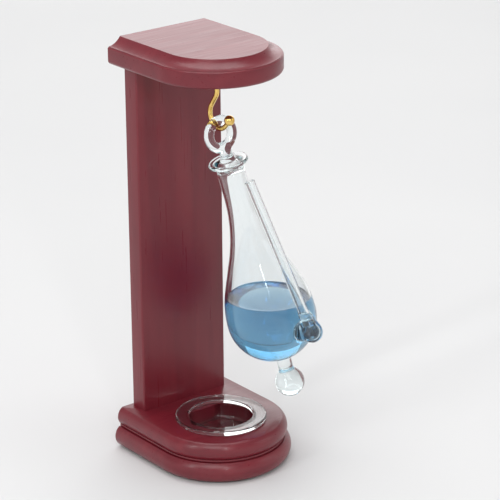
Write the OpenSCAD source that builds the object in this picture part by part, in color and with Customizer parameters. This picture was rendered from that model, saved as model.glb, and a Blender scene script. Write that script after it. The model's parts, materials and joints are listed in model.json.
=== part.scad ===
// Hanging teardrop weather glass on a D-shaped wooden stand, with a drip cup.
// Millimetres, +Z up. The rounded front of the stand faces -Y.
// The origin lies on the underside, below the centre of the rounded front.

/* [Stand] */
// height of the stand from the felt to the flat top
stand_height = 260; // [200:1:320]
// thickness of the felt sheet under the base
felt_t = 1.2; // [0.5:0.1:3]
// thickness of each of the two base boards
base_board_t = 12.15; // [8:0.05:20]
// radius of the lower base board at its widest
lower_r = 44; // [36:0.5:60]
// radius of the upper base board at its widest
upper_r = 41.7; // [34:0.1:58]
// distance from the front's centre to the back edge of the base
base_back = 48.5; // [40:0.5:70]
// radius of the top board at its widest
top_r = 40; // [32:0.5:56]
// thickness of the top board
top_t = 15.4; // [10:0.1:24]
// distance from the front's centre to the back edge of the top board
top_back = 50; // [40:0.5:70]
// width of the back board
back_w = 62.5; // [40:0.5:80]
// thickness of the back board
back_t = 12; // [8:0.5:18]
// distance from the front's centre to the front face of the back board
back_face_y = 34.2; // [30:0.2:50]

/* [Drip cup] */
// position of the cup and hook axis along Y
cup_y = -2; // [-8:0.5:4]
// radius of the cup's flange
flange_r = 27.75; // [22:0.25:34]
// thickness of the flange
flange_t = 2.55; // [1.5:0.05:4]
// outer radius of the cup's wall
cup_r = 21.3; // [16:0.1:26]
// wall thickness of the cup
cup_wall = 2; // [1.2:0.1:3]
// depth of the cup below the flange's underside
cup_depth = 11.1; // [6:0.1:12]

/* [Hook] */
// wire radius of the hook
wire_r = 1.45; // [1:0.05:2.5]
// radius of the bowl to the wire's centre
bowl_r = 8.2; // [6:0.1:12]
// radius of the ball on the hook's tip
tip_r = 3.1; // [2:0.1:5]
// height of the wire's centre at the lowest point of the bowl
pivot_z = 210.4; // [150:0.1:260]
// distance of the bowl's centre in front of the origin
pivot_y = -3.4; // [-10:0.1:5]

/* [Glass] */
// tilt of the stored glass from plumb, in degrees
tilt = 14.55; // [0:0.05:25]
// direction that the stored glass is pulled to, in degrees from +X towards +Y
pull_azimuth = -21.4; // [-90:0.1:90]
// distance from the pivot to the centre of the bulb
bulb_drop = 126.3; // [90:0.1:160]
// outer radius of the bulb
bulb_r = 27.2; // [18:0.1:40]
// wall thickness of the glass
glass_w = 1.3; // [0.8:0.1:2.5]
// outer radius of the neck
neck_r = 8.2; // [5:0.1:12]
// radius of the hanging ring to the centre of its rod
ring_r = 8.3; // [6:0.1:14]
// radius of the ring's glass rod
rod_r = 2.95; // [1.5:0.05:4]
// radius of the collar disc below the ring
collar_r = 12; // [9:0.1:16]
// thickness of the collar disc
collar_t = 2.2; // [1:0.1:4]
// distance from the pivot to the top of the collar
collar_drop = 20.6; // [17:0.1:30]
// radius of the solid ball below the bulb
finial_r = 9.05; // [5:0.05:14]
// distance from the pivot to the centre of that ball
finial_drop = 172; // [120:0.1:220]
// outer radius of the spout tube
spout_r = 3.05; // [2:0.05:5]
// bore radius of the spout tube
spout_bore_r = 1.75; // [1:0.05:3]

/* [Liquid] */
// height of the liquid's level surface
level_z = 101.4; // [80:0.1:110]

/* [Hidden] */
$fn = 96;
eps = 0.01;
base_top = felt_t + 2 * base_board_t;
seam_z = felt_t + base_board_t;
top_under = stand_height - top_t;
back_mid_y = back_face_y + back_t / 2;

// screws and dowels, with the holes that they fill
screw_x = 18;
screw_r = 2;
screw_hole_r = 2.1;
thread_hole_r = 2.03;
head_r = 4.2;
sink_r = 4.6;
sink_depth = 1.6;
head_z = felt_t + 1.2;
shank_len = 31;
drive_w = 0.9;
dowel_x = 20;
dowel_r = 3;
dowel_hole_r = 3.03;
dowel_len = 20;
dowel_tip_r = 2.4;
dowel_z = top_under - 12;

// bullnose and moulding proportions
lower_arc = 7.6;
upper_arc = 6.6;
fillet_r = upper_r - 1.7;
groove_r = upper_r - 2.7;
fillet_h = 1.2;
groove_h = 0.4;
upper_arc_z = base_top - 5.8;
cove_r = 11;
cove_x = top_r + 0.3;
cove_z = stand_height + 6.1;
lip_r = 0.8;
fascia_top = stand_height - 5.2;
under_r = 2.3;

// hook: angles of its bowl and length of its straight end
slant = 35;
bowl_end = -138;
hook_end_len = 5.9;
shank_in = 8;
joint_r = wire_r + 0.04;

// drip cup: rounding of its flange, bevel of its mouth and play in the well
rim_r = 0.8;
mouth_bevel = 1.6;
cup_play = 0.35;

// teardrop outline above the bulb's equator
shoulder_arc = 66;
shoulder_x = bulb_r - shoulder_arc;
slope = 21.06;
neck_arc = 115.7;
shoulder_steps = 12;
neck_steps = 16;
neck_arc_x = neck_r + neck_arc;
cone_len = (shoulder_x + (shoulder_arc + neck_arc) * cos(slope) - neck_arc_x) / sin(slope);
neck_arc_z = (shoulder_arc + neck_arc) * sin(slope) + cone_len * cos(slope);
neck_top = bulb_drop - collar_drop - collar_t;

// spout, in the upright glass's own frame with the pivot at the origin
elbow = [0, -37.9, -127.6];
spout_top = [0, -16.1, -31.7];
elbow_r = 6;
elbow_bore_r = 3.5;
port_r = 2.5;
flare_len = 18;
stub_root = [0, -22.5, -130.6];
spout_len = norm(spout_top - elbow);

// direction of pull, and the axis that the glass and the liquid's level turn about
pull = [cos(pull_azimuth), sin(pull_azimuth), 0];
swing_axis = [-sin(pull_azimuth), cos(pull_azimuth), 0];

// point that the level turns about, and the middle of the liquid's round part
level_pivot_drop = 119.3;
level_pivot = [0, pivot_y, pivot_z] + level_pivot_drop * (sin(tilt) * pull - [0, 0, cos(tilt)]);
liquid_mid = level_pivot + 0.25 * pull - [0, 0, 6.9];
liquid_r = 23.4;
liquid_rim_r = 23.8;

// ---- helpers ------------------------------------------------------------

// D-shaped solid with a moulded edge: the children are half of its section,
// with the edge on the +X side and height along Y.
module moulded_d(back) {
  rotate([0, 0, 180])
    rotate_extrude(angle = 180)
      children();
  for (side = [0, 1])
    mirror([side, 0, 0])
      translate([0, back, 0])
        rotate([90, 0, 0])
          linear_extrude(height = back)
            children();
}

// plain half section of a board between two heights
module slab_half(r, z0, z1) {
  translate([0, z0])
    square([r, z1 - z0]);
}

// half section of a board with a rounded edge
module bullnose_half(r, arc, arc_z, z0, z1) {
  intersection() {
    slab_half(r, z0, z1);
    union() {
      translate([r - arc, arc_z])
        circle(r = arc);
      slab_half(r - arc, z0, z1);
    }
  }
}

// turns the children so that their Z axis runs from p towards q
module along(p, q) {
  d = q - p;
  translate(p)
    rotate([0, acos(d[2] / norm(d)), atan2(d[1], d[0])])
      children();
}

// round bar between two points
module bar(p, q, r0, r1) {
  along(p, q)
    cylinder(h = norm(q - p), r1 = r0, r2 = r1);
}

// moves the children from the upright glass's frame to the stored pose
module hung() {
  translate([0, pivot_y, pivot_z])
    rotate(a = -tilt, v = swing_axis)
      children();
}

// half section of the teardrop, inset by w, up to height z1 above the bulb's centre
module teardrop_half(w, z1) {
  r_arc = shoulder_arc - w;
  n_arc = neck_arc + w;
  intersection() {
    circle(r = bulb_r - w);
    translate([0, -bulb_r - 1])
      square([bulb_r + 1, bulb_r + 1]);
  }
  polygon(concat(
    [[0, z1], [0, 0], [bulb_r - w, 0]],
    [for (i = [1 : shoulder_steps])
      let (a = slope * i / shoulder_steps)
      [shoulder_x + r_arc * cos(a), r_arc * sin(a)]],
    [for (i = [0 : neck_steps])
      let (a = slope * (1 - i / neck_steps))
      [neck_arc_x - n_arc * cos(a), neck_arc_z - n_arc * sin(a)]],
    [[neck_r - w, z1]]
  ));
}

// closed solid of the teardrop about its own axis, pivot at the origin
module teardrop(w, z1) {
  translate([0, 0, -bulb_drop])
    rotate_extrude()
      teardrop_half(w, z1);
}

// the spout's rising tube as one turned solid: r_low at the elbow, r_top above the flare
module rising_tube(r_low, r_top, len) {
  along(elbow, spout_top)
    rotate_extrude()
      polygon([[0, 0], [r_low, 0], [r_top, flare_len], [r_top, len], [0, len]]);
}

// outside of the spout: stub, elbow and tube
module spout_solid() {
  bar(stub_root, elbow, elbow_r + 0.5, elbow_r - 0.3);
  translate(elbow)
    sphere(r = elbow_r);
  rising_tube(elbow_r - 0.5, spout_r, spout_len);
}

// inside of the spout, smaller by slack; the tube's end runs out by run
module spout_hollow(slack = 0, run = 0) {
  bar(stub_root, elbow, port_r - slack, port_r - slack);
  translate(elbow)
    sphere(r = elbow_bore_r - slack);
  rising_tube(elbow_bore_r - 0.3 - slack, spout_bore_r - slack, spout_len + run);
}

// ---- stand --------------------------------------------------------------

module base_felt() {
  color([0.13, 0.10, 0.09])
    moulded_d(base_back - 2)
      slab_half(lower_r - 5, 0, felt_t);
}

module base_lower() {
  color([0.36, 0.11, 0.12])
    difference() {
      moulded_d(base_back)
        bullnose_half(lower_r, lower_arc, felt_t + base_board_t / 2, felt_t, seam_z);
      for (x = [-screw_x, screw_x])
        translate([x, back_mid_y, 0]) {
          cylinder(h = seam_z + 1, r = screw_hole_r);
          translate([0, 0, felt_t - 1])
            cylinder(h = sink_depth + 1, r = sink_r);
          translate([0, 0, felt_t + sink_depth - eps])
            cylinder(h = 2.4, r1 = sink_r, r2 = screw_hole_r);
        }
    }
}

module base_upper() {
  color([0.38, 0.12, 0.13])
    difference() {
      moulded_d(base_back)
        union() {
          slab_half(groove_r, seam_z, seam_z + groove_h);
          slab_half(fillet_r, seam_z + groove_h, seam_z + groove_h + fillet_h);
          slab_half(groove_r, seam_z + groove_h + fillet_h, seam_z + 2 * groove_h + fillet_h);
          bullnose_half(upper_r, upper_arc, upper_arc_z, seam_z + 2 * groove_h + fillet_h, base_top);
        }
      translate([0, cup_y, seam_z - 1])
        cylinder(h = base_board_t + 2, r = cup_r + cup_play);
      for (x = [-screw_x, screw_x])
        translate([x, back_mid_y, seam_z - 1])
          cylinder(h = base_board_t + 2, r = screw_hole_r);
    }
}

module base_screws() {
  color([0.66, 0.65, 0.62])
    for (x = [-screw_x, screw_x])
      translate([x, back_mid_y, 0])
        difference() {
          union() {
            translate([0, 0, head_z])
              cylinder(h = 0.4 + eps, r = head_r);
            translate([0, 0, head_z + 0.4])
              cylinder(h = head_r - screw_r, r1 = head_r, r2 = screw_r);
            translate([0, 0, head_z + 2.5])
              cylinder(h = shank_len, r = screw_r);
            translate([0, 0, head_z + 2.5 + shank_len - eps])
              cylinder(h = 4, r1 = screw_r, r2 = 0.4);
          }
          for (a = [0, 90])
            translate([0, 0, head_z])
              rotate([0, 0, a])
                cube([4.4, drive_w, 2.6], center = true);
        }
}

module back_board() {
  color([0.36, 0.11, 0.12])
    difference() {
      translate([-back_w / 2, back_face_y, base_top])
        cube([back_w, back_t, top_under - base_top]);
      for (x = [-screw_x, screw_x])
        translate([x, back_mid_y, base_top - 1])
          cylinder(h = 16.5, r = thread_hole_r);
      for (x = [-dowel_x, dowel_x])
        translate([x, back_mid_y, dowel_z - 0.5])
          cylinder(h = 14, r = dowel_hole_r);
    }
}

module top_board() {
  color([0.38, 0.12, 0.13])
    difference() {
      moulded_d(top_back)
        difference() {
          union() {
            slab_half(top_r - under_r, top_under, stand_height);
            translate([top_r - under_r, top_under + under_r])
              circle(r = under_r);
            slab_half(top_r, top_under + under_r, fascia_top - lip_r);
            translate([top_r - lip_r, fascia_top - lip_r])
              circle(r = lip_r);
            slab_half(top_r - lip_r, top_under + under_r, stand_height);
          }
          translate([cove_x, cove_z])
            circle(r = cove_r);
        }
      for (x = [-dowel_x, dowel_x])
        translate([x, back_mid_y, top_under - 1])
          cylinder(h = 9.5, r = dowel_hole_r);
      translate([0, cup_y, top_under - 1])
        cylinder(h = 12.5, r = wire_r + 0.03);
    }
}

module top_dowels() {
  color([0.74, 0.56, 0.36])
    for (x = [-dowel_x, dowel_x])
      translate([x, back_mid_y, dowel_z]) {
        cylinder(h = 1, r1 = dowel_tip_r, r2 = dowel_r);
        translate([0, 0, 1 - eps])
          cylinder(h = dowel_len - 2, r = dowel_r);
        translate([0, 0, dowel_len - 1 - 2 * eps])
          cylinder(h = 1, r1 = dowel_r, r2 = dowel_tip_r);
      }
}

module cup_hook() {
  bowl = [0, pivot_y, pivot_z + bowl_r];
  p_start = bowl + bowl_r * [0, cos(slant), sin(slant)];
  p_end = bowl + bowl_r * [0, cos(bowl_end), sin(bowl_end)];
  rise = (p_start[1] - cup_y) / tan(slant);
  p_knee = [0, cup_y, p_start[2] + rise];
  tip = p_end + hook_end_len * [0, sin(bowl_end), -cos(bowl_end)];
  color([0.86, 0.66, 0.28]) {
    translate([0, cup_y, p_knee[2]])
      cylinder(h = top_under + shank_in - p_knee[2], r = wire_r);
    translate([0, cup_y, top_under + shank_in - eps])
      cylinder(h = 3.2, r1 = wire_r, r2 = 0.3);
    for (p = [p_knee, p_start, p_end])
      translate(p)
        sphere(r = joint_r);
    bar(p_knee, p_start, wire_r, wire_r);
    translate(bowl)
      rotate([90, 0, 90])
        rotate([0, 0, bowl_end])
          rotate_extrude(angle = slant - bowl_end)
            translate([bowl_r, 0])
              circle(r = wire_r);
    bar(p_end, tip, wire_r, wire_r);
    translate(tip)
      sphere(r = tip_r);
  }
}

// ---- drip cup -----------------------------------------------------------

module drip_cup() {
  under = base_top + 0.05;
  inner_r = cup_r - cup_wall;
  color([0.85, 0.92, 0.94, 0.45])
    translate([0, cup_y, 0])
      rotate_extrude()
        difference() {
          union() {
            translate([0, under])
              square([flange_r - rim_r, flange_t]);
            translate([0, under])
              square([flange_r, flange_t - rim_r]);
            translate([flange_r - rim_r, under + flange_t - rim_r])
              circle(r = rim_r);
            translate([0, under - cup_depth])
              square([cup_r, cup_depth + eps]);
          }
          translate([0, under - cup_depth + cup_wall])
            square([inner_r, cup_depth + flange_t]);
          translate([0, under + flange_t - mouth_bevel + 0.1])
            polygon([[0, 0], [inner_r, 0], [inner_r + mouth_bevel, mouth_bevel], [0, mouth_bevel]]);
        }
}

// ---- glass --------------------------------------------------------------

module glass_ring() {
  eye = wire_r + 0.15 - (ring_r - rod_r);
  color([0.88, 0.94, 0.95, 0.5])
    hung() {
      translate([0, 0, eye])
        rotate([90, 0, 0])
          rotate_extrude()
            translate([ring_r, 0])
              circle(r = rod_r);
      difference() {
        translate([0, 0, -collar_drop - eps])
          cylinder(h = collar_drop - rod_r + eye - ring_r + 3.5, r1 = 4.6, r2 = 2.7);
        translate([0, 0, eye])
          rotate([90, 0, 0])
            cylinder(h = 20, r = ring_r - rod_r, center = true);
      }
      translate([0, 0, -collar_drop - collar_t])
        rotate_extrude() {
          square([collar_r - collar_t / 2, collar_t]);
          translate([collar_r - collar_t / 2, collar_t / 2])
            circle(r = collar_t / 2);
        }
    }
}

module glass_bulb() {
  color([0.88, 0.94, 0.95, 0.35])
    hung()
      difference() {
        teardrop(0, neck_top);
        teardrop(glass_w, neck_top - 2.5);
        bar(stub_root + (stub_root - elbow) * 0.3, elbow, port_r, port_r);
      }
}

module glass_spout() {
  color([0.88, 0.94, 0.95, 0.45])
    hung()
      difference() {
        spout_solid();
        spout_hollow(0, 2);
        translate([0, 0, -bulb_drop])
          sphere(r = bulb_r);
      }
}

module glass_finial() {
  color([0.88, 0.94, 0.95, 0.5])
    hung()
      difference() {
        union() {
          translate([0, 0, -finial_drop])
            sphere(r = finial_r);
          translate([0, 0, -finial_drop])
            cylinder(h = finial_drop - bulb_drop - bulb_r + 3, r = 4.7);
          translate([0, 0, -bulb_drop - bulb_r - 3])
            cylinder(h = 6, r1 = 4.7, r2 = 8.5);
        }
        translate([0, 0, -bulb_drop])
          sphere(r = bulb_r);
      }
}

// ---- liquid -------------------------------------------------------------

// ball below, nearly straight above, and level on top: it clears the glass at every swing
module bulb_liquid() {
  depth = level_z - liquid_mid[2];
  color([0.10, 0.50, 0.78, 0.7])
    translate(liquid_mid)
      rotate_extrude() {
        intersection() {
          circle(r = liquid_r);
          translate([0, -liquid_r])
            square([liquid_r, liquid_r]);
        }
        polygon([[0, 0], [liquid_r, 0], [liquid_rim_r, depth], [0, depth]]);
      }
}

module spout_liquid() {
  color([0.10, 0.50, 0.78, 0.7])
    difference() {
      intersection() {
        hung()
          spout_hollow(0.03, 0);
        translate([-60, -90, level_z - 60])
          cube([160, 160, 60]);
      }
      hung()
        translate([0, 0, -bulb_drop])
          sphere(r = bulb_r + 0.02);
    }
}

base_felt();
base_lower();
base_upper();
base_screws();
back_board();
top_board();
top_dowels();
cup_hook();
drip_cup();
glass_ring();
glass_bulb();
glass_spout();
glass_finial();
bulb_liquid();
spout_liquid();
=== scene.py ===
"""Looks of the hanging teardrop weather glass: stand, hook, drip cup, glass and blue liquid."""

import json
import math

import bpy
import numpy as np
from mathutils import Matrix, Vector


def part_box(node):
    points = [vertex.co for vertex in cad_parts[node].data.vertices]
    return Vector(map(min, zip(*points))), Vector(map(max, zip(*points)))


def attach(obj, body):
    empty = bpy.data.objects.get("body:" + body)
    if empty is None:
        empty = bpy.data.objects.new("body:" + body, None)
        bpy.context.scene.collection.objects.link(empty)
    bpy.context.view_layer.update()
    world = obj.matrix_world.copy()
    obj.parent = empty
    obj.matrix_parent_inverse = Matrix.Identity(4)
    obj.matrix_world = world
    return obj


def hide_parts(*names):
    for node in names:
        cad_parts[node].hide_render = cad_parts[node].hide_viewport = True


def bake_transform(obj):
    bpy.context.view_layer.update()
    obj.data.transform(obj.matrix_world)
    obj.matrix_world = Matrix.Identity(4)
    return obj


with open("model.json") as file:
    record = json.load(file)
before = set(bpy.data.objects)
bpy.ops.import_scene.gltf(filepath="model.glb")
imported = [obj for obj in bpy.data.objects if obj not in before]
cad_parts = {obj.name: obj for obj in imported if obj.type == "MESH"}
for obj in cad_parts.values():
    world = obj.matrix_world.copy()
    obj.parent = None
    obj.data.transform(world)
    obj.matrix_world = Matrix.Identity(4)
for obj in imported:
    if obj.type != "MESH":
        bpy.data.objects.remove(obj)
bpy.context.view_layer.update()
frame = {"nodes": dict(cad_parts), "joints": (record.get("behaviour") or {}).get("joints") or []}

MM = 0.001
JOINTS = {j["name"]: j for j in frame["joints"]}

# ---- sizes in millimetres, as the frame has them --------------------------------

BASE_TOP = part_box("base_upper")[1].z / MM
SEAM_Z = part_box("base_upper")[0].z / MM
FELT_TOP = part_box("base_felt")[1].z / MM
STAND_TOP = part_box("top_board")[1].z / MM
TOP_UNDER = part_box("top_board")[0].z / MM
LOWER_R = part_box("base_lower")[1].x / MM
UPPER_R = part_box("base_upper")[1].x / MM
TOP_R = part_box("top_board")[1].x / MM
BASE_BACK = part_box("base_lower")[1].y / MM
TOP_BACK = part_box("top_board")[1].y / MM
CORNER_R = 0.8
EDGE_STEPS = 7

CUP_Y = -2.0
CUP_R = 21.3
CUP_WALL = 2.0
CUP_PLAY = 0.35
FLANGE_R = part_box("drip_cup")[1].x / MM
FLANGE_T = 2.55
CUP_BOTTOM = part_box("drip_cup")[0].z / MM
FLANGE_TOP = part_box("drip_cup")[1].z / MM

WIRE_R = 1.45
BOWL_R = 8.2
BALL_R = 3.1
HOOK_SLANT = 35
HOOK_END = -138
HOOK_STRAIGHT = 5.9

TILT = math.radians(14.55)
BULB_DROP = 126.3
BULB_R = 27.2
GLASS_W = 1.3
NECK_R = 8.2
SHOULDER_ARC = 66.0
SHOULDER_X = BULB_R - SHOULDER_ARC
SLOPE = math.radians(21.06)
NECK_ARC = 115.7
NECK_ARC_X = NECK_R + NECK_ARC
CONE_X = SHOULDER_X + SHOULDER_ARC * math.cos(SLOPE)
CONE_Z = SHOULDER_ARC * math.sin(SLOPE)
CONE_LEN = (CONE_X + NECK_ARC * math.cos(SLOPE) - NECK_ARC_X) / math.sin(SLOPE)
NECK_ARC_Z = CONE_Z + CONE_LEN * math.cos(SLOPE) + NECK_ARC * math.sin(SLOPE)
COLLAR_DROP = 20.6
COLLAR_R = 12.0
COLLAR_T = 2.2
RING_R = 8.3
ROD_R = 2.95
RING_Z = WIRE_R + 0.15 - (RING_R - ROD_R)
FINIAL_DROP = 172.0
FINIAL_R = 9.05
STEM_LOW_R = 4.4
STEM_TOP_R = 2.7
WAIST_LOW_R = 4.4
WAIST_TOP_R = 4.6
SPOUT_R = 3.05
BORE_R = 1.75
ELBOW = np.array([0, -37.9, -127.6])
SPOUT_TOP = np.array([0, -16.1, -31.7])
STUB_ROOT = np.array([0, -22.5, -130.6])
STUB_R = 6.2
ELBOW_R = 5.8
ELBOW_TUBE_R = 5.5
ELBOW_BORE_R = 3.2
PORT_R = 2.5
FLARE_LEN = 18.0
LEVEL_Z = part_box("bulb_liquid")[1].z / MM
MENISCUS_RISE = 0.7
MENISCUS_REACH = 1.3
OVERLAP = 0.05

swing = JOINTS["glass_swing"]
PIVOT = Vector(swing["pos_m"])
HUNG = Matrix.Translation(PIVOT) @ Matrix.Rotation(TILT, 4, Vector(swing["axis"]))
UP_IN_GLASS = np.array(HUNG.to_3x3().transposed() @ Vector((0, 0, 1)))

# ---- camera and lights, in metres, degrees and watts ------------------------------

VIEW_AZIMUTH = -38.47
VIEW_ELEVATION = 20.84
VIEW_ROLL = -0.42
VIEW_DISTANCE = 1.37528
VIEW_TARGET = Vector((0.0333, 0.0103, 0.12273))
LENS = 163.15
SENSOR = 36
LIGHT_TARGET = Vector((0.02, 0, 0.12))
# name: (place, width, height, power)
SOFTBOXES = {
    "key": ((-1.1, -0.9, 1.5), 0.9, 0.9, 8),
    "fill": ((1.3, -1.2, 0.9), 1.0, 0.8, 2),
    "overhead": ((0.1, 0.2, 1.8), 1.4, 1.4, 18),
    "back": ((1.2, 1.5, 0.75), 2.0, 0.9, 8.2),
    "left_strip": ((-1.7, -0.15, 1.1), 0.14, 1.0, 5),
    "front_strip": ((-0.75, -1.55, 1.1), 0.12, 1.0, 4),
}


# ---- mesh helpers ----------------------------------------------------------------

def add_mesh(name, points, faces, sharp_deg=180):
    """A new smooth-shaded object from points in millimetres; edges sharper than sharp_deg stay crisp."""
    mesh = bpy.data.meshes.new(name)
    mesh.from_pydata([tuple(p * MM for p in point) for point in points], [], faces)
    mesh.validate()
    mesh.shade_smooth()
    if sharp_deg < 180:
        mesh.set_sharp_from_angle(angle=math.radians(sharp_deg))
    obj = bpy.data.objects.new(name, mesh)
    bpy.context.scene.collection.objects.link(obj)
    return obj


def arc(cx, cz, radius, start, end, steps=EDGE_STEPS):
    """Points of an arc in a section, between two angles in degrees."""
    return [
        (cx + radius * math.cos(a), cz + radius * math.sin(a))
        for a in np.radians(np.linspace(start, end, steps))
    ]


def d_outline(radius, back):
    """D-shaped outline: a half circle at the front, and straight sides to small rounded back corners."""
    front = arc(0, 0, radius, 180, 360, 129)
    right = arc(radius - CORNER_R, back - CORNER_R, CORNER_R, 0, 90)
    left = arc(CORNER_R - radius, back - CORNER_R, CORNER_R, 90, 180)
    return front + right + left


def loft(name, loops, joined=False, sharp_deg=32):
    """Skin through closed loops of (x, y, z) points; joined runs the last loop back to the first."""
    count = len(loops[0])
    points = [p for loop in loops for p in loop]
    faces = []
    for i in range(len(loops) if joined else len(loops) - 1):
        a, b = i * count, (i + 1) % len(loops) * count
        for k in range(count):
            n = (k + 1) % count
            faces.append((a + k, a + n, b + n, b + k))
    if not joined:
        faces.append(tuple(reversed(range(count))))
        faces.append(tuple(range(len(points) - count, len(points))))
    return add_mesh(name, points, faces, sharp_deg)


def moulded_board(name, section, back, well=None):
    """Board with a moulded edge on its front and sides. section runs up its edge as (radius, z).
    well is (y, radius) of a round hole through it."""
    loops = [[(x, y, z) for x, y in d_outline(r, back)] for r, z in section]
    if well is None:
        return loft(name, loops)
    y0, radius = well
    turns = [math.atan2(y - y0, x) for x, y, _ in loops[0]]
    rims = [(radius, SEAM_Z), (radius, BASE_TOP - 0.4), (radius + 0.4, BASE_TOP)]
    wall = [
        [(r * math.cos(t), y0 + r * math.sin(t), z) for t in turns] for r, z in rims
    ]
    return loft(name, loops + wall[::-1], joined=True)


def soften(obj, width, segments=3, angle=32):
    """Rounds the crisp edges of a piece by a small width in millimetres."""
    bevel = obj.modifiers.new("rounded_edges", "BEVEL")
    bevel.width = width * MM
    bevel.segments = segments
    bevel.limit_method = "ANGLE"
    bevel.angle_limit = math.radians(angle)
    bevel.harden_normals = True


def lathe(name, profile, y0=0.0, steps=192, sharp_deg=40):
    """Turned piece about a vertical axis at y0, from a closed profile of (radius, z)."""
    loops = [
        [
            (r * math.cos(t), y0 + r * math.sin(t), z)
            for t in np.linspace(0, 2 * math.pi, steps, endpoint=False)
        ]
        for r, z in profile
    ]
    return loft(name, loops, joined=True, sharp_deg=sharp_deg)


def sweep(name, path, radii, steps=40):
    """Round rod along a path in the YZ plane, with its own radius at each point and closed ends."""
    path = np.array(path, float)
    ahead = np.gradient(path, axis=0)
    ahead /= np.linalg.norm(ahead, axis=1)[:, None]
    across = np.stack([-ahead[:, 1], ahead[:, 0]], 1)
    loops = []
    for (y, z), (ay, az), radius in zip(path, across, radii):
        loops.append([
            (radius * math.sin(t), y + radius * ay * math.cos(t), z + radius * az * math.cos(t))
            for t in np.linspace(0, 2 * math.pi, steps, endpoint=False)
        ])
    return loft(name, loops, sharp_deg=180)


# ---- rounded shapes from distance fields, in the upright glass's frame ------------

def soft_min(a, b, k):
    """Union of two distance fields with a fillet of about k."""
    h = np.clip(0.5 + 0.5 * (b - a) / k, 0, 1)
    return b * (1 - h) + a * h - k * h * (1 - h)


def soft_max(a, b, k):
    """Intersection of two distance fields with a rounding of about k."""
    return -soft_min(-a, -b, k)


def rod(p, a, b, ra, rb):
    """Round rod from a to b that tapers from ra to rb, with round ends."""
    d = b - a
    t = np.clip((p - a) @ d / (d @ d), 0, 1)
    return np.linalg.norm(p - a - t[:, None] * d, axis=1) - (ra + (rb - ra) * t)


def on_axis(drop):
    """Point on the glass's axis, a distance below the pivot."""
    return np.array([0.0, 0.0, -drop])


def teardrop(p):
    """Outside of the bulb, shoulder and neck."""
    rho = np.hypot(p[:, 0], p[:, 1])
    z = p[:, 2] + BULB_DROP
    ball = np.hypot(rho, z) - BULB_R
    shoulder = np.hypot(rho - SHOULDER_X, z) - SHOULDER_ARC
    cone = (rho - CONE_X) * math.cos(SLOPE) + (z - CONE_Z) * math.sin(SLOPE)
    neck = NECK_ARC - np.hypot(rho - NECK_ARC_X, z - NECK_ARC_Z)
    on_shoulder = np.arctan2(z, rho - SHOULDER_X) < SLOPE
    on_neck = np.arctan2(NECK_ARC_Z - z, NECK_ARC_X - rho) < SLOPE
    wall = np.where(on_shoulder, shoulder, np.where(on_neck, neck, cone))
    return np.where(z < 0, ball, np.where(z > NECK_ARC_Z, rho - NECK_R, wall))


def collar(p):
    """Collar disc with a round rim."""
    half = COLLAR_T / 2
    rho = np.hypot(p[:, 0], p[:, 1])
    out = np.maximum(rho - (COLLAR_R - half), 0)
    return np.hypot(out, p[:, 2] + COLLAR_DROP + half) - half


def ring(p):
    """Hanging ring in the XZ plane."""
    turn = np.hypot(p[:, 0], p[:, 2] - RING_Z) - RING_R
    return np.hypot(turn, p[:, 1]) - ROD_R


def rising_tube(p, low_r, top_r):
    """Spout tube from the elbow upwards, without an end, flared towards the elbow."""
    d = SPOUT_TOP - ELBOW
    d = d / np.linalg.norm(d)
    t = np.maximum((p - ELBOW) @ d, 0)
    s = np.clip(t / FLARE_LEN, 0, 1)
    radius = low_r + (top_r - low_r) * s * s * (3 - 2 * s)
    return np.linalg.norm(p - ELBOW - t[:, None] * d, axis=1) - radius


def spout_outside(p):
    """Stub, elbow and tube of the spout."""
    d = SPOUT_TOP - ELBOW
    length = np.linalg.norm(d)
    end = (p - ELBOW) @ (d / length) - length
    tube = soft_max(rising_tube(p, ELBOW_TUBE_R, SPOUT_R), end, k=0.5)
    return soft_min(tube, rod(p, STUB_ROOT, ELBOW, STUB_R, ELBOW_R), k=3)


def spout_bore(p):
    """Hollow of the spout, from the bulb's wall to beyond the tube's end."""
    inside_bulb = STUB_ROOT + (STUB_ROOT - ELBOW) * 0.2
    port = rod(p, inside_bulb, ELBOW, PORT_R, ELBOW_BORE_R)
    return soft_min(rising_tube(p, ELBOW_BORE_R, BORE_R), port, k=1.5)


def bulb_cavity(p):
    """Hollow of the bulb and neck, with a domed top."""
    roof = 2.5
    top = p[:, 2] + COLLAR_DROP + COLLAR_T + roof
    return soft_max(teardrop(p) + GLASS_W, top, k=5)


def glass_outside(p):
    """Whole outside of the glass as one lampworked piece."""
    body = np.maximum(teardrop(p), p[:, 2] + COLLAR_DROP + COLLAR_T / 2)
    body = soft_min(body, collar(p), k=1.4)
    ring_foot = on_axis(-RING_Z + RING_R - 0.5)
    stem = rod(p, on_axis(COLLAR_DROP), ring_foot, STEM_LOW_R, STEM_TOP_R)
    body = soft_min(body, soft_min(stem, ring(p), k=2.2), k=1.8)
    ball = np.linalg.norm(p - on_axis(FINIAL_DROP), axis=1) - FINIAL_R
    in_ball, in_bulb = on_axis(FINIAL_DROP - 8), on_axis(BULB_DROP + BULB_R - 1)
    waist = rod(p, in_ball, in_bulb, WAIST_LOW_R, WAIST_TOP_R)
    body = soft_min(body, soft_min(ball, waist, k=2.5), k=3.5)
    return soft_min(body, spout_outside(p), k=2.5)


def glass_field(p):
    """Glass, hollow inside."""
    hollow = soft_min(bulb_cavity(p), spout_bore(p), k=1.0)
    return soft_max(glass_outside(p), -hollow, k=0.5)


def above_level(p, wall):
    """Height above the liquid's level, which climbs a little where it meets the wall."""
    height = p @ UP_IN_GLASS + PIVOT.z / MM - LEVEL_Z
    return height - MENISCUS_RISE * np.exp(np.minimum(wall, 0) / MENISCUS_REACH)


def bulb_liquid_field(p):
    """Liquid in the bulb."""
    wall = bulb_cavity(p) - OVERLAP
    return soft_max(wall, above_level(p, wall), k=0.5)


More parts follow.
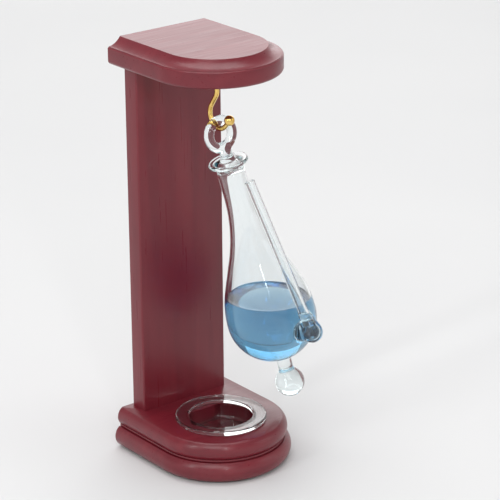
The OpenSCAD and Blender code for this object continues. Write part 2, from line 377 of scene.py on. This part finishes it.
def spout_liquid_field(p):
    """Liquid in the spout."""
    wall = spout_bore(p) - OVERLAP
    body = soft_max(wall, above_level(p, wall), k=0.3)
    return soft_max(body, -bulb_cavity(p), k=0.2)


def surface_net(field, low, high, step):
    """Points and quads near a distance field's zero level: one point in each grid cell that it cuts."""
    axes = [np.arange(a, b + step, step) for a, b in zip(low, high)]
    grid = np.stack(np.meshgrid(*axes, indexing="ij"), -1)
    size = grid.shape[:3]
    value = field(grid.reshape(-1, 3)).reshape(size)
    inside = value < 0
    neighbours = [edge_ends(axis) for axis in range(3)]

    cells = tuple(n - 1 for n in size)
    total = np.zeros(cells + (3,))
    count = np.zeros(cells)
    for axis, (near, far) in enumerate(neighbours):
        cross = inside[near] != inside[far]
        share = np.where(cross, value[near] / np.where(cross, value[near] - value[far], 1), 0)
        point = grid[near].copy()
        point[..., axis] += share * step
        b, c = [k for k in range(3) if k != axis]
        for db in (0, 1):
            for dc in (0, 1):
                part = [slice(None)] * 3
                part[b] = slice(db, size[b] - 1 + db)
                part[c] = slice(dc, size[c] - 1 + dc)
                part = tuple(part)
                total += np.where(cross[part][..., None], point[part], 0)
                count += cross[part]

    used = count > 0
    index = np.full(cells, -1)
    index[used] = np.arange(used.sum())
    points = total[used] / count[used][:, None]
    quads = []
    for axis, (near, far) in enumerate(neighbours):
        edge = np.argwhere(inside[near] != inside[far])
        b, c = np.roll(np.eye(3, dtype=int), -axis - 1, axis=0)[:2]
        quad = np.stack([index[tuple((edge - o).T)] for o in (0 * b, b, b + c, c)], 1)
        out = inside[tuple(edge.T)]
        quads.append(np.where(out[:, None], quad, quad[:, ::-1]))
    return points, np.concatenate(quads)


def edge_ends(axis):
    """Index of the near ends, and of the far ends, of all grid edges along an axis."""
    near = tuple(slice(0, -1) if k == axis else slice(None) for k in range(3))
    far = tuple(slice(1, None) if k == axis else slice(None) for k in range(3))
    return near, far


def slope_of(field, points, h=0.01):
    """Gradient of the field at some points."""
    return np.stack(
        [(field(points + h * e) - field(points - h * e)) / (2 * h) for e in np.eye(3)], 1
    )


def onto_surface(field, points, most=0.4):
    """Moves points along the field's slope onto its zero level, by at most a small step."""
    slope = slope_of(field, points)
    push = field(points) / np.maximum((slope**2).sum(1), 0.2)
    return points - np.clip(push, -most, most)[:, None] * slope


def evened_out(field, points, quads, rounds=3):
    """Points spread evenly over the zero level, each pulled halfway to the mean of its neighbours."""
    pairs = np.concatenate([quads[:, [k, (k + 1) % 4]] for k in range(4)])
    for _ in range(rounds):
        near_sum, near_count = np.zeros_like(points), np.zeros(len(points))
        np.add.at(near_sum, pairs[:, 0], points[pairs[:, 1]])
        np.add.at(near_count, pairs[:, 0], 1)
        points = 0.5 * points + 0.5 * near_sum / near_count[:, None]
        points = onto_surface(field, points)
    return onto_surface(field, onto_surface(field, points))


def field_mesh(name, field, low, high, step):
    """Closed smooth mesh of a distance field's zero level, turned into the stored pose."""
    points, quads = surface_net(field, low, high, step)
    points = evened_out(field, points, quads)
    obj = add_mesh(name, points, quads.tolist())
    obj.data.transform(HUNG)
    normals = slope_of(field, points) @ np.array(HUNG.to_3x3()).T
    normals /= np.linalg.norm(normals, axis=1)[:, None]
    obj.data.normals_split_custom_set_from_vertices(normals)
    return obj


# ---- materials ---------------------------------------------------------------------

class Shader:
    """A Principled material and short ways to add its nodes."""

    def __init__(self, name, **values):
        self.material = bpy.data.materials.new(name)
        self.material.use_nodes = True
        self.tree = self.material.node_tree
        self.body = self.tree.nodes["Principled BSDF"]
        self.place = self.add("ShaderNodeTexCoord").outputs["Object"]
        for key, value in values.items():
            self.body.inputs[key.replace("_", " ")].default_value = value

    def add(self, kind, **values):
        node = self.tree.nodes.new(kind)
        for key, value in values.items():
            setattr(node, key, value)
        return node

    def link(self, output, node, socket):
        self.tree.links.new(output, node.inputs[socket])

    def stretched(self, scale):
        """Coordinates scaled apart on each axis."""
        node = self.add("ShaderNodeMapping")
        node.inputs["Scale"].default_value = scale
        self.link(self.place, node, "Vector")
        return node.outputs["Vector"]

    def noise(self, scale, at=None, detail=4.0, distortion=0.0):
        node = self.add("ShaderNodeTexNoise")
        node.inputs["Scale"].default_value = scale
        node.inputs["Detail"].default_value = detail
        node.inputs["Distortion"].default_value = distortion
        self.link(at or self.place, node, "Vector")
        return node.outputs["Fac"]

    def ramp(self, value, stops):
        """Colour ramp; each stop is (position, colour) or (position, grey)."""
        node = self.add("ShaderNodeValToRGB")
        ramp = node.color_ramp
        while len(ramp.elements) < len(stops):
            ramp.elements.new(0.5)
        for element, (position, colour) in zip(ramp.elements, stops):
            grey = isinstance(colour, (int, float))
            element.position = position
            element.color = (colour,) * 3 + (1,) if grey else (*colour, 1)
        self.link(value, node, "Fac")
        return node.outputs["Color"]

    def set(self, socket, output):
        self.link(output, self.body, socket)

    def bump(self, height, strength, distance, under=None):
        """Bump on the surface; returns its normal for another bump to lie on."""
        node = self.add("ShaderNodeBump")
        node.inputs["Strength"].default_value = strength
        node.inputs["Distance"].default_value = distance
        self.link(height, node, "Height")
        if under is not None:
            self.link(under, node, "Normal")
        self.set("Normal", node.outputs["Normal"])
        return node.outputs["Normal"]

    def absorb(self, colour, density):
        """Tint that deepens with thickness."""
        volume = self.add("ShaderNodeVolumeAbsorption")
        volume.inputs["Color"].default_value = (*colour, 1)
        volume.inputs["Density"].default_value = density
        output = self.tree.nodes["Material Output"]
        self.link(volume.outputs["Volume"], output, "Volume")


def mahogany(name, grain):
    """Dark red stained wood under satin lacquer; grain is the axis that its figure runs along."""
    shader = Shader(name, Roughness=0.32, Coat_Weight=0.12, Coat_Roughness=0.12)
    across = tuple(0.09 if k == grain else 1.0 for k in range(3))
    figure = shader.noise(95, shader.stretched(across), detail=6, distortion=0.6)
    dark, middle, light = (0.140, 0.0080, 0.0165), (0.162, 0.0100, 0.0195), (0.184, 0.0135, 0.0230)
    shader.set("Base Color", shader.ramp(figure, [(0.3, dark), (0.5, middle), (0.7, light)]))
    fine = tuple(0.03 if k == grain else 1.0 for k in range(3))
    pores = shader.noise(900, shader.stretched(fine), detail=3)
    shader.set("Roughness", shader.ramp(pores, [(0.3, 0.27), (0.7, 0.4)]))
    wave = shader.bump(shader.noise(38, detail=2), 0.06, 0.001)
    shader.bump(pores, 0.05, 0.0002, wave)
    return shader.material


def brass():
    """Polished brass with faint drawing lines and tarnish."""
    shader = Shader("polished_brass", Metallic=1.0)
    tarnish = shader.noise(260, detail=5)
    dull, bright = (0.66, 0.40, 0.10), (0.90, 0.63, 0.20)
    shader.set("Base Color", shader.ramp(tarnish, [(0.3, dull), (0.62, bright)]))
    lines = shader.noise(700, shader.stretched((1, 1, 0.12)), detail=3)
    shader.set("Roughness", shader.ramp(lines, [(0.3, 0.1), (0.75, 0.24)]))
    shader.bump(lines, 0.08, 0.0001)
    return shader.material


def clear(name, ior, tint, density, wave):
    """Clear glass or acrylic: slightly wavy, faintly hazed by handling, tinted in its thickness."""
    shader = Shader(name, Roughness=0.0, IOR=ior, Transmission_Weight=1.0)
    haze = shader.noise(55, detail=5)
    shader.set("Roughness", shader.ramp(haze, [(0.45, 0.0), (0.8, 0.03)]))
    clean, hazed = (0.985, 1.0, 1.0), (0.965, 0.99, 0.995)
    shader.set("Base Color", shader.ramp(haze, [(0.3, clean), (0.8, hazed)]))
    shader.bump(shader.noise(42, detail=1), wave, 0.001)
    shader.absorb(tint, density)
    return shader.material


def liquid():
    """Water tinted bright blue."""
    shader = Shader("blue_liquid", IOR=1.333, Transmission_Weight=1.0)
    cloud = shader.noise(70, detail=3)
    shader.set("Roughness", shader.ramp(cloud, [(0.4, 0.0), (0.8, 0.015)]))
    thin, thick = (0.93, 0.985, 1.0), (0.90, 0.97, 1.0)
    shader.set("Base Color", shader.ramp(cloud, [(0.3, thin), (0.8, thick)]))
    shader.bump(shader.noise(60, detail=1), 0.02, 0.001)
    shader.absorb((0.11, 0.52, 0.71), 54.0)
    return shader.material


def felt():
    """Dark brown felt."""
    shader = Shader("felt", Roughness=0.95, Sheen_Weight=0.4)
    fibres = shader.noise(1500, detail=6)
    deep, worn = (0.012, 0.009, 0.008), (0.045, 0.034, 0.028)
    shader.set("Base Color", shader.ramp(fibres, [(0.3, deep), (0.7, worn)]))
    shader.bump(fibres, 0.6, 0.0004)
    return shader.material


def steel():
    """Zinc plated screw steel."""
    shader = Shader("screw_steel", Metallic=1.0)
    grain = shader.noise(800, shader.stretched((1, 1, 0.2)), detail=3)
    dull, bright = (0.42, 0.41, 0.38), (0.66, 0.65, 0.62)
    shader.set("Base Color", shader.ramp(grain, [(0.3, dull), (0.7, bright)]))
    shader.set("Roughness", shader.ramp(grain, [(0.3, 0.25), (0.7, 0.45)]))
    return shader.material


def beech():
    """Bare dowel wood."""
    shader = Shader("dowel_wood", Roughness=0.7)
    grain = shader.noise(300, shader.stretched((1, 1, 0.06)), detail=5)
    dark, light = (0.42, 0.26, 0.13), (0.60, 0.42, 0.24)
    shader.set("Base Color", shader.ramp(grain, [(0.3, dark), (0.7, light)]))
    shader.bump(grain, 0.2, 0.0003)
    return shader.material


def finish_piece(obj, material, slot, body, *nodes):
    """Gives a new piece its material and its body, and hides the CAD nodes that it stands for; slot is
    not used.
    """
    obj.data.materials.append(material)
    if body is not None:
        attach(obj, body)
    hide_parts(*nodes)
    return obj


# ---- the stand -----------------------------------------------------------------------

def base_boards(material):
    """Two stacked D-shaped boards with bullnose edges and a narrow fillet between them."""
    nose = 7.6
    middle = (FELT_TOP + SEAM_Z) / 2
    reach = math.degrees(math.asin((SEAM_Z - middle) / nose))
    lower = arc(LOWER_R - nose, middle, nose, -reach, reach, 25)
    board = moulded_board("base_lower_board", lower, BASE_BACK)
    soften(board, 0.25)
    finish_piece(board, material, "mahogany", "stand", "base_lower")

    groove_h, fillet_h = 0.4, 1.2
    groove_r, fillet_r = UPPER_R - 2.7, UPPER_R - 1.7
    step_z = SEAM_Z + groove_h
    shelf_z = step_z + fillet_h
    nose, nose_z = 6.6, BASE_TOP - 5.8
    foot_z = shelf_z + groove_h
    low = math.degrees(math.asin((foot_z - nose_z) / nose))
    high = math.degrees(math.asin((BASE_TOP - nose_z) / nose))
    upper = [(groove_r, SEAM_Z), (groove_r, step_z), (fillet_r, step_z), (fillet_r, shelf_z)]
    upper += [(groove_r, shelf_z), (groove_r, foot_z)]
    upper += arc(UPPER_R - nose, nose_z, nose, low, high, 25)
    well = (CUP_Y, CUP_R + CUP_PLAY)
    board = moulded_board("base_upper_board", upper, BASE_BACK, well)
    soften(board, 0.15)
    finish_piece(board, material, "mahogany", "stand", "base_upper")


def back_board(material):
    """Upright board with softly rounded long edges."""
    edge = 1.1
    low, high = (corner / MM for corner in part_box("back_board"))
    left, right = low.x + edge, high.x - edge
    front, back = low.y + edge, high.y - edge
    outline = arc(right, back, edge, 0, 90) + arc(left, back, edge, 90, 180)
    outline += arc(left, front, edge, 180, 270) + arc(right, front, edge, 270, 360)
    loops = [[(x, y, z) for x, y in outline] for z in (low.z, high.z)]
    board = loft("back_board_panel", loops, sharp_deg=40)
    finish_piece(board, material, "mahogany", "stand", "back_board")


def top_board(material):
    """D-shaped board with a bead under its fascia and a cove round its top."""
    bead, lip = 2.3, 0.8
    lip_drop = 6.0
    cove, cove_x, cove_z = 11.0, TOP_R + 0.3, STAND_TOP + 6.1
    lip_z = STAND_TOP - lip_drop
    lip_r = TOP_R - lip
    start = math.degrees(-math.acos((lip_r - cove_x) / cove))
    end = math.degrees(math.asin((STAND_TOP - cove_z) / cove))
    section = arc(TOP_R - bead, TOP_UNDER + bead, bead, -90, 0, 9)
    section += arc(lip_r, lip_z, lip, 0, 90)
    section += arc(cove_x, cove_z, cove, start, -180 - end, 25)
    board = moulded_board("top_board_moulded", section, TOP_BACK)
    soften(board, 0.3)
    finish_piece(board, material, "mahogany", "stand", "top_board")


def hook(material):
    """Screw hook: shank, slanted arm, bowl and ball tip, drawn as one rod in the YZ plane."""
    bowl_y = PIVOT.y / MM
    bowl_z = PIVOT.z / MM + BOWL_R
    slant = math.radians(HOOK_SLANT)
    start_y = bowl_y + BOWL_R * math.cos(slant)
    start_z = bowl_z + BOWL_R * math.sin(slant)
    knee_z = start_z + (start_y - CUP_Y) / math.tan(slant)
    bend, shank_in = 6.0, 3.0
    reach = bend * math.tan(slant / 2)
    shank = [(CUP_Y, z) for z in np.linspace(TOP_UNDER + shank_in, knee_z + reach, 24)]
    turn = arc(CUP_Y + bend, knee_z + reach, bend, 180, 180 + HOOK_SLANT, 16)
    out = np.array([math.sin(slant), -math.cos(slant)])
    last = np.array(turn[-1])
    arm_len = np.linalg.norm(np.array([start_y, start_z]) - last)
    arm = [tuple(last + out * s) for s in np.linspace(0, arm_len, 12)]
    curve = arc(bowl_y, bowl_z, BOWL_R, HOOK_SLANT, HOOK_END, 60)
    finish = math.radians(HOOK_END)
    on = np.array([math.sin(finish), -math.cos(finish)])
    wire_len = HOOK_STRAIGHT - math.sqrt(BALL_R**2 - WIRE_R**2)
    tail = [tuple(np.array(curve[-1]) + on * s) for s in np.linspace(0, wire_len, 8)]
    wire = shank + turn[1:] + arm[1:] + curve[1:] + tail[1:]
    neck = math.pi - math.asin(WIRE_R / BALL_R)
    angles = np.linspace(neck, 0.02, 28)[1:]
    middle = np.array(curve[-1]) + on * HOOK_STRAIGHT
    ball = [tuple(middle + on * BALL_R * math.cos(a)) for a in angles]
    radii = [WIRE_R] * len(wire) + [BALL_R * math.sin(a) for a in angles]
    piece = sweep("brass_screw_hook", wire + ball, radii)
    finish_piece(piece, material, "polished_brass", "stand", "cup_hook")


def drip_cup(material):
    """Clear cup with a flat flange and a rounded lip."""
    inner = CUP_R - CUP_WALL
    rim, lip, fillet = 0.8, 1.0, 2.0
    near_axis = 0.02
    under = FLANGE_TOP - FLANGE_T
    bottom = CUP_BOTTOM + CUP_WALL
    profile = [(near_axis, CUP_BOTTOM)]
    profile += arc(CUP_R - rim, CUP_BOTTOM + rim, rim, -90, 0)
    profile += [(CUP_R, under)]
    profile += arc(FLANGE_R - rim, under + rim, rim, -90, 0)
    profile += arc(FLANGE_R - rim, FLANGE_TOP - rim, rim, 0, 90)
    profile += arc(inner + lip, FLANGE_TOP - lip, lip, 90, 180, 13)
    profile += arc(inner - fillet, bottom + fillet, fillet, 0, -90, 9)
    profile += [(near_axis, bottom)]
    piece = lathe("clear_drip_cup", profile, CUP_Y, sharp_deg=50)
    finish_piece(piece, material, "clear_acrylic", "cup", "drip_cup")


def hidden_pieces():
    """The CAD pieces that are kept as they are, and only get their materials."""
    for node, material in (("base_felt", felt()), ("base_screws", steel()), ("top_dowels", beech())):
        obj = frame["nodes"][node]
        obj.data.materials.clear()
        obj.data.materials.append(material)


# ---- the glass and its liquid ------------------------------------------------------------

def weather_glass(material):
    """The glass as one smooth hollow piece: ring, stem, collar, neck, bulb, finial and spout."""
    margin, elbow_room = 2, 8
    half = BULB_R + margin
    low = (-half, ELBOW[1] - elbow_room, -FINIAL_DROP - FINIAL_R - margin)
    high = (half, half, RING_Z + RING_R + ROD_R + margin)
    step = 0.6
    piece = field_mesh("lampworked_glass", glass_field, low, high, step)
    nodes = ("glass_ring", "glass_bulb", "glass_spout", "glass_finial")
    finish_piece(piece, material, "clear_glass", "weather_glass", *nodes)


def blue_water(material):
    """The liquid, level in the bulb and in the spout."""
    half = BULB_R + 1
    above_level_z = -BULB_DROP + 26
    low = (-half, -half, -BULB_DROP - half)
    high = (half, half, above_level_z)
    step = 0.5
    piece = field_mesh("bulb_water", bulb_liquid_field, low, high, step)
    finish_piece(piece, material, "blue_liquid", None, "bulb_liquid")
    level = Vector(JOINTS["liquid_level"]["pos_m"])
    level.z = LEVEL_Z * MM
    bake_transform(piece)

    side = 8
    low = (-side, ELBOW[1] - side, ELBOW[2] - 9)
    high = (side, STUB_ROOT[1] + 4, above_level_z)
    piece = field_mesh("spout_water", spout_liquid_field, low, high, 0.35)
    finish_piece(piece, material, "blue_liquid", "weather_glass", "spout_liquid")


# ---- studio --------------------------------------------------------------------------------

def floor():
    """Plain pale floor."""
    shader = Shader("pale_floor", Roughness=0.8)
    shader.set("Base Color", shader.ramp(
        shader.noise(3, detail=2), [(0.3, (0.715, 0.715, 0.72)), (0.7, (0.735, 0.735, 0.737))]))
    size = 3000.0
    corners = [(-size, -size, 0), (size, -size, 0), (size, size, 0), (-size, size, 0)]
    piece = add_mesh("floor", corners, [(0, 1, 2, 3)])
    piece.data.materials.append(shader.material)


def softbox(name, at, width, height, power):
    """Large rectangular studio light aimed at the object."""
    light = bpy.data.lights.new(name, "AREA")
    light.shape = "RECTANGLE"
    light.size, light.size_y = width, height
    light.energy = power
    obj = bpy.data.objects.new(name, light)
    bpy.context.scene.collection.objects.link(obj)
    obj.location = at
    obj.rotation_euler = (LIGHT_TARGET - Vector(at)).to_track_quat("-Z", "Y").to_euler()


def surroundings():
    """White surroundings, brightest near the horizon."""
    world = bpy.data.worlds.new("white_studio")
    bpy.context.scene.world = world
    world.use_nodes = True
    tree = world.node_tree
    place = tree.nodes.new("ShaderNodeTexCoord")
    split = tree.nodes.new("ShaderNodeSeparateXYZ")
    ramp = tree.nodes.new("ShaderNodeValToRGB")
    horizon, overhead = ramp.color_ramp.elements
    horizon.position, horizon.color = 0.12, (0.9, 0.9, 0.9, 1)
    overhead.position, overhead.color = 0.45, (0.42, 0.42, 0.42, 1)
    tree.links.new(place.outputs["Generated"], split.inputs["Vector"])
    tree.links.new(split.outputs["Z"], ramp.inputs["Fac"])
    tree.links.new(ramp.outputs["Color"], tree.nodes["Background"].inputs["Color"])


def studio():
    """Surroundings, soft lights and floor."""
    surroundings()
    for name, (at, width, height, power) in SOFTBOXES.items():
        softbox(name, at, width, height, power)
    floor()


def camera():
    """Camera at the picture's viewing angle."""
    azimuth, elevation = math.radians(VIEW_AZIMUTH), math.radians(VIEW_ELEVATION)
    back = Vector((
        math.sin(azimuth) * math.cos(elevation),
        -math.cos(azimuth) * math.cos(elevation),
        math.sin(elevation),
    ))
    data = bpy.data.cameras.new("camera")
    data.sensor_width = SENSOR
    data.lens = LENS
    obj = bpy.data.objects.new("camera", data)
    bpy.context.scene.collection.objects.link(obj)
    turn = (-back).to_track_quat("-Z", "Y").to_matrix().to_4x4()
    roll = Matrix.Rotation(math.radians(VIEW_ROLL), 4, "Z")
    obj.matrix_world = Matrix.Translation(VIEW_TARGET + back * VIEW_DISTANCE) @ turn @ roll
    bpy.context.scene.camera = obj


def light_paths():
    """Plain colours, and enough bounces to see through the layers of glass and liquid."""
    scene = bpy.context.scene
    scene.view_settings.view_transform = "Standard"
    scene.cycles.max_bounces = 32
    scene.cycles.transmission_bounces = 32
    scene.cycles.glossy_bounces = 32


def main():
    """Builds every piece, the studio and the camera."""
    boards = mahogany("mahogany_boards", 0)
    base_boards(boards)
    top_board(boards)
    back_board(mahogany("mahogany_upright", 2))
    hook(brass())
    drip_cup(clear("clear_acrylic", ior=1.49, tint=(0.9, 0.98, 0.97), density=10, wave=0.02))
    weather_glass(clear("clear_glass", ior=1.47, tint=(0.80, 0.96, 0.97), density=22, wave=0.03))
    blue_water(liquid())
    hidden_pieces()
    studio()
    camera()
    light_paths()


main()
